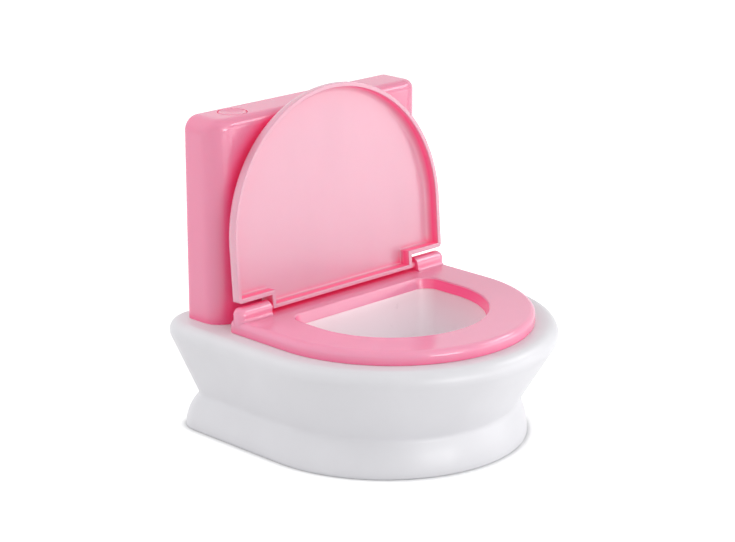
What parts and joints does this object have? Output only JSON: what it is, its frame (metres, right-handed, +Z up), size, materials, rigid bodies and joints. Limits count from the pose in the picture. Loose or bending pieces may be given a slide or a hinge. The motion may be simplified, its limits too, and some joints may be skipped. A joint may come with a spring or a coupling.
{
  "type": "toy potty chair",
  "caption": "Toilet-shaped potty chair at doll scale: bowl in a flared pedestal, D-shaped seat, hinged lid and a cistern with a sound button.",
  "frame": {"origin": "on the ground, under the middle of the pedestal's outline", "axes": "+Z up; -Y is the front, where a doll's legs hang; +X is to the right when the front is seen from the front"},
  "size_m": [0.172, 0.1741, 0.1775],
  "materials": {
    "white_shell": "soft white polypropylene, satin",
    "white_plate": "white polypropylene, fine spark texture",
    "white_bowl": "white polypropylene, semi-gloss",
    "pink_seat": "pink ABS, polished",
    "pink_lid": "pink ABS, polished",
    "pink_tank": "pink ABS, polished",
    "pink_panel": "pink ABS, fine texture",
    "pink_button": "pink ABS, polished",
    "steel": "zinc-plated",
    "spring_steel": "drawn wire",
    "stamped_steel": "stamped sheet",
    "contact_nickel": "nickel-plated strip and wire",
    "cell_steel": "nickel-plated can",
    "black_rubber": "conductive rubber",
    "board": "paper-phenolic board",
    "chip_resin": "potting resin",
    "cone_film": "pressed film",
    "magnet": "ferrite with a coated yoke",
    "white_clamp": "natural ABS",
    "wire_red": "PVC sleeve",
    "wire_black": "PVC sleeve"
  },
  "bodies": {
    "chair": {"base_shell": "white_shell", "base_plate": "white_plate", "base_screws": "steel", "bowl_liner": "white_bowl", "seat": "pink_seat", "seat_screws": "steel", "tank_front": "pink_tank", "tank_back": "pink_panel", "tank_screws": "steel", "cistern_screws": "steel", "button_spring": "spring_steel", "sound_board": "board", "sound_chip": "chip_resin", "board_screws": "steel", "speaker_frame": "stamped_steel", "speaker_cone": "cone_film", "speaker_magnet": "magnet", "speaker_clamp": "white_clamp", "speaker_screws": "steel", "speaker_wires": "wire_red", "button_cells": "cell_steel", "battery_contact_positive": "contact_nickel", "battery_contact_negative": "contact_nickel", "battery_door": "pink_panel", "battery_door_screw": "steel", "battery_wires": "wire_black"},
    "lid_body": {"lid": "pink_lid"},
    "button_body": {"flush_button": "pink_button", "contact_pill": "black_rubber"}
  },
  "joints": [
    {"name": "lid_hinge", "type": "hinge", "parent": "chair", "child": "lid_body", "pos_m": [0, 0.0357, 0.0703], "axis": [1, 0, 0], "range_deg": [0, 94.2]},
    {"name": "button_press", "type": "slide", "parent": "chair", "child": "button_body", "axis": [0, 0, -1], "range_m": [0, 0.002], "stiffness_N_per_m": 300, "springref_m": -0.003, "deforming": ["button_spring"]}
  ]
}
